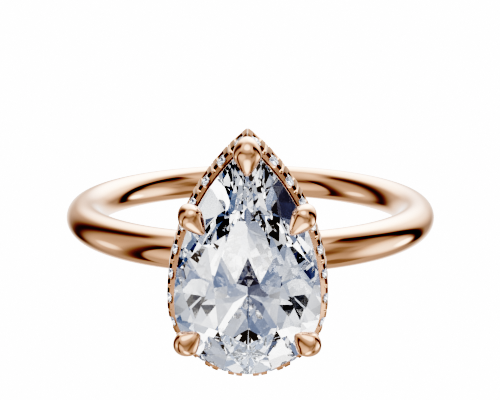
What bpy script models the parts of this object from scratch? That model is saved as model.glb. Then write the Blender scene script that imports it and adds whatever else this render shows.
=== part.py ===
"""Engagement ring: a round-wire band carrying a pear brilliant in five claws over a hidden halo.

The finger axis is world Z and the stone faces -Y. The head is modelled in a frame of its own, with x across
the stone, y towards its tip and z as the height above the finger axis. One empty turns that frame into place.
"""

import math
from typing import NamedTuple

import bmesh
import bpy
from mathutils import Matrix, Vector

MM = 0.001

# Band
FINGER_BORE = 16.5 * MM
SHANK_WIRE = 1.95 * MM

# Pear stone
STONE_WIDTH = 6.58 * MM
STONE_LENGTH = 10.44 * MM
ROUND_END_Y = -1.31 * MM
CULET_RISE = 0.12 * MM
PAVILION_DEPTH = 2.70 * MM
GIRDLE_THICKNESS = 0.20 * MM
CROWN_HEIGHT = 0.98 * MM
TABLE_WIDTH = 3.80 * MM

# Points of the star facets, as shares of the table's inset and of the crown's height
STAR_INSET = 0.48
STAR_RISE = 0.62

# Halo rail, as offsets from the girdle outline and drops below the girdle's middle
RIM_OFFSET = 0.03 * MM
RIM_DROP = 0.15 * MM
RIM_WIDTH = 0.11 * MM
CORNER_OFFSET = 0.25 * MM
CORNER_DROP = 0.61 * MM
LEDGE_OFFSET = 0.34 * MM
LEDGE_DROP = 0.66 * MM
BACK_OFFSET = 0.39 * MM
BACK_DROP = 1.81 * MM
BACK_WALL = 0.55 * MM

# Small round stones in the halo rail
MELEE_COUNT = 25
MELEE_DIAMETER = 0.68 * MM
MELEE_OFFSET = 0.20 * MM
MELEE_DROP = 0.78 * MM
MELEE_LEAN = math.radians(28.0)
MELEE_TABLE = 0.38 * MM
MELEE_CROWN = 0.10 * MM
MELEE_GIRDLE = 0.03 * MM
MELEE_PAVILION = 0.22 * MM

# Scoops round the small stones, the slots between them, and how far their cutters stand out of the rail
SCOOP_WIDTH = 0.48 * MM
SCOOP_LEAN = math.radians(15.0)
SCOOP_FRONT = 0.50 * MM
SCOOP_BACK = 1.10 * MM
SCOOP_DEPTH = 0.06 * MM
SLOT_WIDTH = 0.16 * MM
SLOT_FRONT = 0.20 * MM
SLOT_DEPTH = 0.20 * MM
CUTTER_REACH = 0.80 * MM

# Gallery rail at the foot of the claws, and the feet that carry it on the band
GALLERY_WIRE = 0.80 * MM
GALLERY_INSET = 1.35 * MM
GALLERY_RISE = 0.62 * MM
FOOT_WIDTH = 1.00 * MM
FOOT_LENGTH = 1.40 * MM
FOOT_GRIP = 0.14 * MM

# Claws
CLAW_WIDTH = 1.12 * MM
TIP_CLAW_WIDTH = 1.23 * MM
TIP_CLAW_PROUD = 0.47 * MM
UPPER_CLAW_PROUD = 0.72 * MM
LOWER_CLAW_PROUD = 0.58 * MM
CLAW_REACH = 0.83 * MM
CLAW_STEM = 0.54 * MM
STEM_LEAN = math.radians(-33.0)
UPPER_CLAW_RUN = 4.03 * MM
LOWER_CLAW_ANGLE = math.radians(31.5)
UPPER_CLAW_TURN = math.radians(22.0)
LOWER_CLAW_TURN = math.radians(-7.0)

# Teardrop head of a claw in half widths: set-back from the proud side, rise over the girdle, lean in degrees,
# half thickness and half width of the three sections that round it over the stone's edge
CLAW_NECK = 0.62
CLAW_HEAD = (
    (0.95, -0.18, 0.0, 0.95, 0.95),
    (1.08, 0.42, 28.0, 0.95, 1.00),
    (1.52, 0.80, 48.0, 0.74, 0.86),
)

# Taper of the teardrop: its place as a share of the reach, and in half widths its lift, thickness and width
TAPER_SHARE = 0.66
TAPER_LIFT = 0.25
TAPER_THICK = 0.48
TAPER_WIDE = 0.52
POINT_SIZE = 0.06
POINT_LEAN = math.radians(55.0)

# Fit left between pieces that are soldered or set together
SEAT_GAP = 0.04 * MM

# Facets and sides
MAIN_FACETS = 8
STONE_RIM_SIDES = 64
MELEE_RIM_SIDES = 16
SHANK_SEGMENTS = 80
SHANK_SIDES = 16
SIDE_STATIONS = 12
ROUND_STATIONS = 22
GALLERY_BEVEL = 3
CLAW_SIDES = 12
SCOOP_ARC_SIDES = 6

# Heights above the finger axis
SHANK_RADIUS = (FINGER_BORE + SHANK_WIRE) / 2
SHANK_TOP = FINGER_BORE / 2 + SHANK_WIRE
CULET_HEIGHT = SHANK_TOP + CULET_RISE
GIRDLE_HEIGHT = CULET_HEIGHT + PAVILION_DEPTH + GIRDLE_THICKNESS / 2
GALLERY_HEIGHT = SHANK_TOP + GALLERY_RISE

# Arcs of the pear outline: one round end and two long sides that meet at the tip
ROUND_RADIUS = STONE_WIDTH / 2
TIP_REACH = STONE_LENGTH - ROUND_RADIUS
SIDE_RADIUS = (TIP_REACH**2 + ROUND_RADIUS**2) / (2 * ROUND_RADIUS)
SIDE_CENTRE = SIDE_RADIUS - ROUND_RADIUS

# Insets of the tables from the girdles
TABLE_INSET = (STONE_WIDTH - TABLE_WIDTH) / 2
MELEE_INSET = (MELEE_DIAMETER - MELEE_TABLE) / 2


class Finish(NamedTuple):
    """The look of a material, and the angle between faces above which an edge stays sharp."""

    name: str
    colour: tuple
    roughness: float
    metallic: float
    sharp_angle: float


class Cut(NamedTuple):
    """The sizes of a brilliant cut, apart from its outline."""

    inset: float
    crown: float
    girdle: float
    pavilion: float


class ClawSection(NamedTuple):
    """An ellipse across a claw, by its place in the claw's upright plane, its lean and its half sizes."""

    offset: float
    height: float
    lean: float
    thick: float
    wide: float


class ClawPlace(NamedTuple):
    """Where a claw meets the girdle, the way it faces, and its sizes.

    The stretch is how much further inwards the stone runs there than its outline moves.
    """

    name: str
    base: Vector
    outward: Vector
    stretch: float
    width: float
    proud: float


ROSE_GOLD = Finish("rose_gold", (0.84, 0.56, 0.40, 1.0), 0.10, 1.0, math.radians(40.0))
DIAMOND = Finish("diamond", (0.94, 0.95, 0.97, 1.0), 0.02, 0.0, math.radians(2.0))
PEAR_CUT = Cut(TABLE_INSET, CROWN_HEIGHT, GIRDLE_THICKNESS, PAVILION_DEPTH)
MELEE_CUT = Cut(MELEE_INSET, MELEE_CROWN, MELEE_GIRDLE, MELEE_PAVILION)


def clear_scene():
    """Remove every object that the scene starts with."""
    for item in list(bpy.data.objects):
        bpy.data.objects.remove(item, do_unlink=True)


def new_collection(name):
    """Make an empty collection in the scene."""
    collection = bpy.data.collections.new(name)
    bpy.context.scene.collection.children.link(collection)
    return collection


def new_material(finish):
    """Make the material of a finish."""
    material = bpy.data.materials.new(finish.name)
    material.use_nodes = True
    shader = material.node_tree.nodes["Principled BSDF"]
    shader.inputs["Base Color"].default_value = finish.colour
    shader.inputs["Roughness"].default_value = finish.roughness
    shader.inputs["Metallic"].default_value = finish.metallic
    return material


class Bench:
    """The collections, the materials and the head's frame that every piece is placed with."""

    def __init__(self):
        self.parts = new_collection("engagement_ring")
        self.cutters = new_collection("cutters")
        self.materials = {finish: new_material(finish) for finish in (ROSE_GOLD, DIAMOND)}
        self.head = bpy.data.objects.new("head_frame", None)
        self.head.rotation_euler = (math.pi / 2, 0.0, 0.0)
        self.parts.objects.link(self.head)

    def dress(self, piece, finish):
        """Give a piece its material, and round it where its faces meet at a low angle."""
        piece.data.materials.append(self.materials[finish])
        piece.data.shade_smooth()
        piece.data.set_sharp_from_angle(angle=finish.sharp_angle)

    def part(self, name, mesh, finish):
        """Place a finished piece of the head."""
        piece = bpy.data.objects.new(name, mesh)
        piece.parent = self.head
        self.parts.objects.link(piece)
        self.dress(piece, finish)
        return piece

    def cutter(self, name, mesh):
        """Place a hidden body of the head that only cuts other pieces."""
        piece = bpy.data.objects.new(name, mesh)
        piece.parent = self.head
        self.cutters.objects.link(piece)
        hide(piece)
        return piece


def hide(cutter):
    """Leave a cutter out of the picture, and draw it as wires."""
    cutter.hide_render = True
    cutter.display_type = "WIRE"


def cut(piece, cutter, solver="EXACT"):
    """Take the cutter's body out of a piece."""
    modifier = piece.modifiers.new(cutter.name, "BOOLEAN")
    modifier.operation = "DIFFERENCE"
    modifier.solver = solver
    modifier.object = cutter


def mesh_from(name, work):
    """Turn a bmesh into a mesh of flat triangles that point out, so that it cuts cleanly."""
    bmesh.ops.triangulate(work, faces=work.faces)
    bmesh.ops.recalc_face_normals(work, faces=work.faces)
    mesh = bpy.data.meshes.new(name)
    work.to_mesh(mesh)
    work.free()
    return mesh


def loft(name, sections, ring):
    """Skin a row of closed sections, joined end to end as a ring or else capped."""
    work = bmesh.new()
    rows = [[work.verts.new(point) for point in section] for section in sections]
    followers = rows[1:] + rows[:1] if ring else rows[1:]
    for row, follower in zip(rows, followers):
        for side in range(len(row)):
            after = (side + 1) % len(row)
            work.faces.new((row[side], row[after], follower[after], follower[side]))
    if not ring:
        work.faces.new(rows[0])
        work.faces.new(rows[-1])
    return mesh_from(name, work)


def side_sweep(offset):
    """Angle of a long side's arc, from the widest place up to the tip, on an offset outline."""
    return math.acos(SIDE_CENTRE / (SIDE_RADIUS + offset))


def side_length(offset):
    """Length of a long side's arc on an offset outline."""
    return side_sweep(offset) * (SIDE_RADIUS + offset)


def pear_length(offset):
    """Length once round an offset outline of the pear."""
    return 2 * side_length(offset) + math.pi * (ROUND_RADIUS + offset)


def pear(run, offset):
    """Point and outward direction at a run along an offset outline, from the tip down the +x side."""
    length = pear_length(offset)
    if run > length / 2:
        point, outward = pear(length - run, offset)
        return Vector((-point.x, point.y)), Vector((-outward.x, outward.y))
    side_run = side_length(offset)
    if run < side_run:
        angle = (side_run - run) / (SIDE_RADIUS + offset)
        outward = Vector((math.cos(angle), math.sin(angle)))
        return outward * (SIDE_RADIUS + offset) + Vector((-SIDE_CENTRE, ROUND_END_Y)), outward
    angle = (side_run - run) / (ROUND_RADIUS + offset)
    outward = Vector((math.cos(angle), math.sin(angle)))
    return outward * (ROUND_RADIUS + offset) + Vector((0.0, ROUND_END_Y)), outward


def pear_stations(offset):
    """Points once round an offset outline, with a fixed number on each side and on the round end."""
    length = pear_length(offset)
    side_run = side_length(offset)
    round_run = length - 2 * side_run
    runs = [side_run * step / SIDE_STATIONS for step in range(SIDE_STATIONS)]
    runs += [side_run + round_run * step / ROUND_STATIONS for step in range(ROUND_STATIONS)]
    runs += [length - side_run + side_run * step / SIDE_STATIONS for step in range(SIDE_STATIONS)]
    return [pear(run, offset)[0] for run in runs]


def pear_rim(share, offset):
    """Point at a share of the way round an offset pear outline."""
    return pear(share * pear_length(offset), offset)[0]


def round_rim(share, offset):
    """Point at a share of the way round a small stone's offset girdle."""
    angle = 2 * math.pi * share
    return Vector((math.cos(angle), math.sin(angle))) * (MELEE_DIAMETER / 2 + offset)


def at_height(point, height):
    """A flat point lifted to a height."""
    return Vector((point.x, point.y, height))


def add_brilliant(work, rim, centre, sizes, rim_sides, grow, place):
    """Add a brilliant-cut stone to a bmesh, with its girdle's middle at height 0 and its table up.

    The rim gives the outline, the centre is the culet's place, and every face is moved out by grow.
    """
    top = sizes.girdle / 2
    points = []
    for step in range(MAIN_FACETS):
        table = rim(step / MAIN_FACETS, grow - sizes.inset)
        points.append(at_height(table, top + sizes.crown + grow))
        star = rim((step + 0.5) / MAIN_FACETS, grow - sizes.inset * STAR_INSET)
        points.append(at_height(star, top + sizes.crown * STAR_RISE + grow))
    for step in range(rim_sides):
        edge = rim(step / rim_sides, grow)
        points.append(at_height(edge, top))
        points.append(at_height(edge, -top))
    points.append(at_height(centre, -top - sizes.pavilion - grow * math.sqrt(2.0)))
    verts = [work.verts.new(place @ point) for point in points]
    hull = bmesh.ops.convex_hull(work, input=verts)
    bmesh.ops.delete(work, geom=list(set(hull["geom_interior"])), context="VERTS")


def add_slot(work, width, front, back, depth, place):
    """Add a straight-sided cutter with a round front end, that goes to a depth below a frame's origin.

    The frame has x along the rail, y towards the front of the ring and z out of the rail.
    """
    radius = width / 2
    outline = [Vector((-radius, -back, -depth)), Vector((radius, -back, -depth))]
    for step in range(SCOOP_ARC_SIDES + 1):
        angle = math.pi * step / SCOOP_ARC_SIDES
        arc = Vector((math.cos(angle), math.sin(angle))) * radius
        outline.append(Vector((arc.x, front - radius + arc.y, -depth)))
    floor = work.faces.new([work.verts.new(place @ point) for point in outline])
    raised = bmesh.ops.extrude_face_region(work, geom=[floor])
    tops = [item for item in raised["geom"] if isinstance(item, bmesh.types.BMVert)]
    rise = place.to_3x3() @ Vector((0.0, 0.0, depth + CUTTER_REACH))
    bmesh.ops.translate(work, verts=tops, vec=rise)


def rail_frame(run, offset, drop, lean):
    """Local frame on the halo rail: x along it, y towards the front and z outwards, leaning to the front."""
    point, outward = pear(run, offset)
    along = Vector((-outward.y, outward.x, 0.0))
    out = at_height(outward * math.cos(lean), math.sin(lean))
    front = out.cross(along)
    turn = Matrix((along, front, out)).transposed().to_4x4()
    return Matrix.Translation(at_height(point, GIRDLE_HEIGHT - drop)) @ turn


def melee_frames(lean):
    """Frames at the small stones' places, evenly spaced with none at the pear's tip, at a forward lean."""
    pitch = pear_length(MELEE_OFFSET) / MELEE_COUNT
    runs = [(step + 0.5) * pitch for step in range(MELEE_COUNT)]
    return [rail_frame(run, MELEE_OFFSET, MELEE_DROP, lean) for run in runs]


def slot_frames():
    """Frames of the slots, halfway between the small stones, on the ledge of the rail's outer wall."""
    pitch = pear_length(LEDGE_OFFSET) / MELEE_COUNT
    lean = math.atan2(BACK_OFFSET - LEDGE_OFFSET, BACK_DROP - LEDGE_DROP)
    return [rail_frame(step * pitch, LEDGE_OFFSET, LEDGE_DROP, lean) for step in range(MELEE_COUNT)]


def hoop(name, wire, collection):
    """A round wire bent into a hoop about the finger axis, in a collection."""
    bpy.ops.mesh.primitive_torus_add(
        major_segments=SHANK_SEGMENTS,
        minor_segments=SHANK_SIDES,
        major_radius=SHANK_RADIUS,
        minor_radius=wire / 2,
    )
    ring = bpy.context.object
    ring.name = name
    for home in list(ring.users_collection):
        home.objects.unlink(ring)
    collection.objects.link(ring)
    return ring


def make_shank(bench):
    """The band."""
    shank = hoop("shank", SHANK_WIRE, bench.parts)
    bench.dress(shank, ROSE_GOLD)


def make_centre_stone(bench):
    """The pear brilliant, and the larger body that cuts its seat in the claws."""
    culet = Vector((0.0, ROUND_END_Y))
    place = Matrix.Translation((0.0, 0.0, GIRDLE_HEIGHT))
    stone = bmesh.new()
    add_brilliant(stone, pear_rim, culet, PEAR_CUT, STONE_RIM_SIDES, 0.0, place)
    bench.part("centre_stone", mesh_from("centre_stone", stone), DIAMOND)
    seat = bmesh.new()
    add_brilliant(seat, pear_rim, culet, PEAR_CUT, STONE_RIM_SIDES, SEAT_GAP, place)
    return bench.cutter("stone_seat", mesh_from("stone_seat", seat))


def make_melee(bench):
    """The small round stones, and the bodies that cut their seats in the metal round them."""
    middle = Vector((0.0, 0.0))
    seats = bmesh.new()
    for number, place in enumerate(melee_frames(MELEE_LEAN), start=1):
        name = f"melee_{number:02d}"
        stone = bmesh.new()
        add_brilliant(stone, round_rim, middle, MELEE_CUT, MELEE_RIM_SIDES, 0.0, place)
        bench.part(name, mesh_from(name, stone), DIAMOND)
        add_brilliant(seats, round_rim, middle, MELEE_CUT, MELEE_RIM_SIDES, SEAT_GAP, place)
    return bench.cutter("melee_seats", mesh_from("melee_seats", seats))


def make_scoops(bench):
    """Cutters that open a round-ended scoop over each small stone."""
    work = bmesh.new()
    for place in melee_frames(SCOOP_LEAN):
        add_slot(work, SCOOP_WIDTH, SCOOP_FRONT, SCOOP_BACK, SCOOP_DEPTH, place)
    return bench.cutter("scoops", mesh_from("scoops", work))


def make_slots(bench):
    """Cutters that part the posts of neighbouring stones, past the back of the rail."""
    work = bmesh.new()
    for place in slot_frames():
        add_slot(work, SLOT_WIDTH, SLOT_FRONT, BACK_DROP, SLOT_DEPTH, place)
    return bench.cutter("slots", mesh_from("slots", work))


def make_halo_rail(bench, cutters):
    """The tapered rail under the girdle, one six-sided section carried round the pear.

    Its seats and notches run into each other, where the exact solver loses the rail and the manifold one holds.
    """
    section = [
        (RIM_OFFSET - RIM_WIDTH, RIM_DROP + RIM_WIDTH),
        (RIM_OFFSET, RIM_DROP),
        (CORNER_OFFSET, CORNER_DROP),
        (LEDGE_OFFSET, LEDGE_DROP),
        (BACK_OFFSET, BACK_DROP),
        (BACK_OFFSET - BACK_WALL, BACK_DROP),
    ]
    rings = [
        [at_height(point, GIRDLE_HEIGHT - drop) for point in pear_stations(offset)]
        for offset, drop in section
    ]
    rail = bench.part("halo_rail", loft("halo_rail", list(zip(*rings)), ring=True), ROSE_GOLD)
    for cutter in cutters:
        cut(rail, cutter, solver="MANIFOLD")


def gallery_mesh(name, wire):
    """A round wire carried round the pear, inside its outline, as a mesh."""
    curve = bpy.data.curves.new(name, "CURVE")
    curve.dimensions = "3D"
    curve.bevel_depth = wire / 2
    curve.bevel_resolution = GALLERY_BEVEL
    points = pear_stations(-GALLERY_INSET)
    spline = curve.splines.new("POLY")
    spline.points.add(len(points) - 1)
    for vertex, point in zip(spline.points, points):
        vertex.co = (point.x, point.y, GALLERY_HEIGHT, 1.0)
    spline.use_cyclic_u = True
    guide = bpy.data.objects.new(name, curve)
    bpy.context.scene.collection.objects.link(guide)
    bpy.context.view_layer.update()
    evaluated = guide.evaluated_get(bpy.context.evaluated_depsgraph_get())
    work = bmesh.new()
    work.from_mesh(evaluated.to_mesh())
    bpy.data.objects.remove(guide, do_unlink=True)
    return mesh_from(name, work)


def make_gallery_rail(bench):
    """The pear-shaped wire loop that the claws stand on, and the body that cuts their coped ends."""
    bench.part("gallery_rail", gallery_mesh("gallery_rail", GALLERY_WIRE), ROSE_GOLD)
    return bench.cutter("gallery_seat", gallery_mesh("gallery_seat", GALLERY_WIRE + 2 * SEAT_GAP))


def make_feet(bench, gallery_seat):
    """Two saddles between the band and the gallery rail, one at each place where the rail crosses it."""
    shank_seat = hoop("shank_seat", SHANK_WIRE + 2 * SEAT_GAP, bench.cutters)
    hide(shank_seat)
    crossing = math.sqrt((SIDE_RADIUS - GALLERY_INSET) ** 2 - ROUND_END_Y**2) - SIDE_CENTRE
    top = GALLERY_HEIGHT - GALLERY_WIRE / 2 + FOOT_GRIP
    size = Matrix.Diagonal((FOOT_WIDTH, FOOT_LENGTH, top - SHANK_RADIUS, 1.0))
    for name, side in (("left_foot", -1), ("right_foot", 1)):
        place = Matrix.Translation((side * crossing, 0.0, (top + SHANK_RADIUS) / 2))
        work = bmesh.new()
        bmesh.ops.create_cube(work, size=1.0, matrix=place @ size)
        foot = bench.part(name, mesh_from(name, work), ROSE_GOLD)
        cut(foot, shank_seat)
        cut(foot, gallery_seat)


def claw_sections(width, proud):
    """Sections of a claw from its foot on the gallery rail, over the girdle, to its point on the crown."""
    half = width / 2
    stem = CLAW_STEM / 2
    girdle_top = GIRDLE_HEIGHT + GIRDLE_THICKNESS / 2
    crown_slope = CROWN_HEIGHT / TABLE_INSET
    neck_height = GIRDLE_HEIGHT - MELEE_DROP + MELEE_DIAMETER / 2
    taper = CLAW_REACH * TAPER_SHARE
    taper_height = girdle_top + taper * crown_slope + half * TAPER_LIFT
    point_height = girdle_top + CLAW_REACH * crown_slope + 2 * SEAT_GAP
    head = []
    for back, rise, lean, thick, wide in CLAW_HEAD:
        height = girdle_top + half * rise
        head.append(ClawSection(proud - half * back, height, math.radians(lean), half * thick, half * wide))
    return [
        ClawSection(-GALLERY_INSET, GALLERY_HEIGHT, STEM_LEAN, stem, stem),
        ClawSection(-stem, neck_height, STEM_LEAN, stem, half * CLAW_NECK),
        *head,
        ClawSection(-taper, taper_height, POINT_LEAN, half * TAPER_THICK, half * TAPER_WIDE),
        ClawSection(-CLAW_REACH, point_height, POINT_LEAN, half * POINT_SIZE, half * POINT_SIZE),
    ]


def claw_mesh(name, place, grow):
    """Skin a claw's sections, each grown outwards, in the upright plane that the claw faces along."""
    outward = at_height(place.outward, 0.0)
    across = Vector((-outward.y, outward.x, 0.0))
    rings = []
    for section in claw_sections(place.width, place.proud):
        reach = section.offset * place.stretch if section.offset < 0 else section.offset
        centre = at_height(place.base + place.outward * reach, section.height)
        normal = at_height(place.outward * math.cos(section.lean), math.sin(section.lean))
        ring = []
        for side in range(CLAW_SIDES):
            angle = 2 * math.pi * (side + 0.5) / CLAW_SIDES
            thick = normal * (section.thick + grow) * math.cos(angle)
            wide = across * (section.wide + grow) * math.sin(angle)
            ring.append(centre + thick + wide)
        rings.append(ring)
    return loft(name, rings, ring=False)


def claw_places():
    """The tip claw, and a mirrored pair of claws at each of the two levels."""
    tip, _ = pear(0.0, 0.0)
    gallery_tip, _ = pear(0.0, -GALLERY_INSET)
    stretch = (tip.y - gallery_tip.y) / GALLERY_INSET
    places = [ClawPlace("tip_claw", tip, Vector((0.0, 1.0)), stretch, TIP_CLAW_WIDTH, TIP_CLAW_PROUD)]
    lower_run = side_length(0.0) + ROUND_RADIUS * LOWER_CLAW_ANGLE
    levels = [
        ("upper", UPPER_CLAW_RUN, UPPER_CLAW_TURN, UPPER_CLAW_PROUD),
        ("lower", lower_run, LOWER_CLAW_TURN, LOWER_CLAW_PROUD),
    ]
    for level, run, turn, proud in levels:
        base, outward = pear(run, 0.0)
        aim = Matrix.Rotation(turn, 2) @ outward
        for hand, side in (("right", 1), ("left", -1)):
            foot = Vector((side * base.x, base.y))
            facing = Vector((side * aim.x, aim.y))
            places.append(ClawPlace(f"{level}_{hand}_claw", foot, facing, 1.0, CLAW_WIDTH, proud))
    return places


def make_claws(bench, seats):
    """The five claws, cut to their seats, and the larger bodies that notch the halo rail as they pass it."""
    notches = []
    for place in claw_places():
        claw = bench.part(place.name, claw_mesh(place.name, place, 0.0), ROSE_GOLD)
        for seat in seats:
            cut(claw, seat)
        notch_name = f"{place.name}_notch"
        notches.append(bench.cutter(notch_name, claw_mesh(notch_name, place, SEAT_GAP)))
    return notches


def main():
    """Build the ring from the band outwards."""
    clear_scene()
    bench = Bench()
    make_shank(bench)
    stone_seat = make_centre_stone(bench)
    gallery_seat = make_gallery_rail(bench)
    make_feet(bench, gallery_seat)
    melee_seats = make_melee(bench)
    notches = make_claws(bench, [stone_seat, gallery_seat, melee_seats])
    make_halo_rail(bench, [make_scoops(bench), make_slots(bench), melee_seats, *notches])


main()
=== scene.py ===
"""Looks of an engagement ring: rose gold, a pear brilliant and a hidden halo of small round brilliants.

The finger axis is world Z and the stone faces -Y. The head is worked out in a frame of its own, with x across
the stone, y towards its tip and the height above the finger axis, and is turned into place at the end.
"""

import logging
import math
from dataclasses import dataclass
from enum import Enum
from typing import Optional, Union

import bmesh
import bpy
import numpy as np
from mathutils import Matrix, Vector


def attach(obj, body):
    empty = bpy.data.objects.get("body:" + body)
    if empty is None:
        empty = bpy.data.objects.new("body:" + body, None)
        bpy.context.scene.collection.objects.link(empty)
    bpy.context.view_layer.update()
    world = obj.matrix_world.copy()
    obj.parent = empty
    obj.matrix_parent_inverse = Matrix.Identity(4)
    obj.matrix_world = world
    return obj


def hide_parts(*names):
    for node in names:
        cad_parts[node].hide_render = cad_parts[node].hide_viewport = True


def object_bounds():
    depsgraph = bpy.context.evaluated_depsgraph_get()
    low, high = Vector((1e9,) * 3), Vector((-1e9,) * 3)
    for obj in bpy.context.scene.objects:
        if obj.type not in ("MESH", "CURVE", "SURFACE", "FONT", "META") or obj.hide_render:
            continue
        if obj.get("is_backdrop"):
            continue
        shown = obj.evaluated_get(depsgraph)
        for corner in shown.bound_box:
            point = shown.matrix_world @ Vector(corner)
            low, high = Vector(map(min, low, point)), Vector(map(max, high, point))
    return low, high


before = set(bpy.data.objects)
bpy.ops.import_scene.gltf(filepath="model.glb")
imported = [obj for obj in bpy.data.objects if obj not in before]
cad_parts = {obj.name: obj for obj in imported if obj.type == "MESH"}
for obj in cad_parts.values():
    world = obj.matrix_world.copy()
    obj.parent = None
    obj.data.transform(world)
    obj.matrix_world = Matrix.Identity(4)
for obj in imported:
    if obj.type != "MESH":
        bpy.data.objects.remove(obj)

MM = 0.001
SLIVER = 0.0002 * MM
BODY = "root"
Socket = bpy.types.NodeSocket
Feed = Union[Socket, float, tuple]
log = logging.getLogger("engagement_ring")


class Slot(Enum):
    """The record's material slots."""

    ROSE_GOLD = "rose_gold"
    DIAMOND = "diamond"


class Ray(Enum):
    """Kinds of light path that the studio shows a different sky."""

    CAMERA = "Is Camera Ray"
    THROUGH_STONE = "Is Transmission Ray"


# Shader wiring


class Wiring:
    """Short ways to add shader nodes to one tree and join them."""

    def __init__(self, tree: bpy.types.NodeTree) -> None:
        """Start with an empty tree."""
        self.tree = tree
        tree.nodes.clear()

    def node(self, kind: str, feeds: Optional[dict] = None, **settings: object) -> bpy.types.Node:
        """Add a node.

        Args:
            kind: the node's type name.
            feeds: what goes into its sockets, by socket name or number.
            settings: properties of the node.

        Returns:
            The new node.
        """
        node = self.tree.nodes.new(kind)
        for name, value in settings.items():
            setattr(node, name, value)
        for key, feed in (feeds or {}).items():
            self.feed(node.inputs[key], feed)
        return node

    def feed(self, socket: Socket, feed: Feed) -> None:
        """Link a socket to another one, or set its own value."""
        if isinstance(feed, bpy.types.NodeSocket):
            self.tree.links.new(feed, socket)
        else:
            socket.default_value = feed

    def math(self, operation: str, first: Feed, second: Feed = 0.0, third: Feed = 0.0) -> Socket:
        """Join two or three numbers by an operation."""
        return self.node("ShaderNodeMath", {0: first, 1: second, 2: third}, operation=operation).outputs[0]

    def dot(self, first: Feed, second: Feed) -> Socket:
        """Dot product of two vectors."""
        node = self.node("ShaderNodeVectorMath", {0: first, 1: second}, operation="DOT_PRODUCT")
        return node.outputs["Value"]

    def ramp(self, value: Feed, low: float, high: float, start: float = 0.0, end: float = 1.0) -> Socket:
        """Smooth step of a value from low to high, as a number from start to end."""
        feeds = {"Value": value, "From Min": low, "From Max": high, "To Min": start, "To Max": end}
        node = self.node("ShaderNodeMapRange", feeds, interpolation_type="SMOOTHSTEP")
        return node.outputs["Result"]

    def mix(self, share: Feed, first: Feed, second: Feed) -> Socket:
        """Colour between two colours."""
        node = self.node("ShaderNodeMix", {"Factor": share}, data_type="RGBA")
        self.feed(node.inputs[6], first)
        self.feed(node.inputs[7], second)
        return node.outputs[2]

    def noise(self, place: Feed, size: float, detail: float) -> Socket:
        """Soft noise whose patches are about one size across."""
        feeds = {"Vector": place, "Scale": 1.0 / size, "Detail": detail}
        return self.node("ShaderNodeTexNoise", feeds).outputs["Fac"]


# Finishes


@dataclass(frozen=True)
class RoseGold:
    """Mirror-polished rose gold with slight colour clouds, polishing haze and fine wheel marks."""

    name: str = "polished_rose_gold"
    warm: tuple = (0.90, 0.575, 0.43, 1.0)
    pale: tuple = (0.87, 0.57, 0.435, 1.0)
    cloud: float = 1.6 * MM
    haze: float = 0.35 * MM
    clear_roughness: float = 0.030
    hazy_roughness: float = 0.065
    mark: float = 0.03 * MM
    mark_depth: float = 0.0002 * MM
    mark_strength: float = 0.25
    edge_tint: tuple = (1.0, 1.0, 1.0, 1.0)

    def colour(self, wiring: Wiring, place: Socket) -> Socket:
        """Colour of the metal at a place."""
        return wiring.mix(wiring.noise(place, self.cloud, 2.0), self.warm, self.pale)

    def roughness(self, wiring: Wiring, place: Socket) -> Socket:
        """Roughness of the metal at a place."""
        haze = wiring.noise(place, self.haze, 4.0)
        return wiring.ramp(haze, 0.3, 0.7, self.clear_roughness, self.hazy_roughness)

    def material(self) -> bpy.types.Material:
        """Make the material."""
        material = bpy.data.materials.new(self.name)
        material.use_nodes = True
        wiring = Wiring(material.node_tree)
        place = wiring.node("ShaderNodeTexCoord").outputs["Object"]
        marks = wiring.noise(place, self.mark, 1.0)
        feeds = {"Strength": self.mark_strength, "Distance": self.mark_depth, "Height": marks}
        bump = wiring.node("ShaderNodeBump", feeds)
        shader = wiring.node("ShaderNodeBsdfPrincipled", {
            "Base Color": self.colour(wiring, place),
            "Metallic": 1.0,
            "Roughness": self.roughness(wiring, place),
            "Specular Tint": self.edge_tint,
            "Normal": bump.outputs["Normal"],
        })
        wiring.node("ShaderNodeOutputMaterial", {"Surface": shader.outputs[0]})
        return material


@dataclass(frozen=True)
class CutGoldPaintedShade(RoseGold):
    """Rose gold of a cut rail: satin where marked so, and painted shade, a dark brown mixed into the colour
    where the shade attribute is set, in the corners that see only gold.
    """

    name: str = "cut_rose_gold_painted_shade"
    # painted shade: the dark brown that the gold is mixed towards
    painted_shade_colour: tuple = (0.11, 0.050, 0.024, 1.0)
    edge_tint: tuple = (0.78, 0.66, 0.58, 1.0)
    satin_roughness: float = 0.38
    # name of the attribute that holds the painted shade
    shade: str = "shade"
    satin: str = "satin"

    def colour(self, wiring: Wiring, place: Socket) -> Socket:
        """Colour of the metal at a place, painted darker where the shade attribute holds painted shade."""
        shade = wiring.node("ShaderNodeAttribute", attribute_name=self.shade).outputs["Fac"]
        # painted shade: mix the gold towards the dark brown by the shade attribute
        return wiring.mix(shade, super().colour(wiring, place), self.painted_shade_colour)

    def roughness(self, wiring: Wiring, place: Socket) -> Socket:
        """Roughness of the metal at a place, with the satin added."""
        satin = wiring.node("ShaderNodeAttribute", attribute_name=self.satin).outputs["Fac"]
        return wiring.math("MULTIPLY_ADD", satin, self.satin_roughness, super().roughness(wiring, place))


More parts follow.
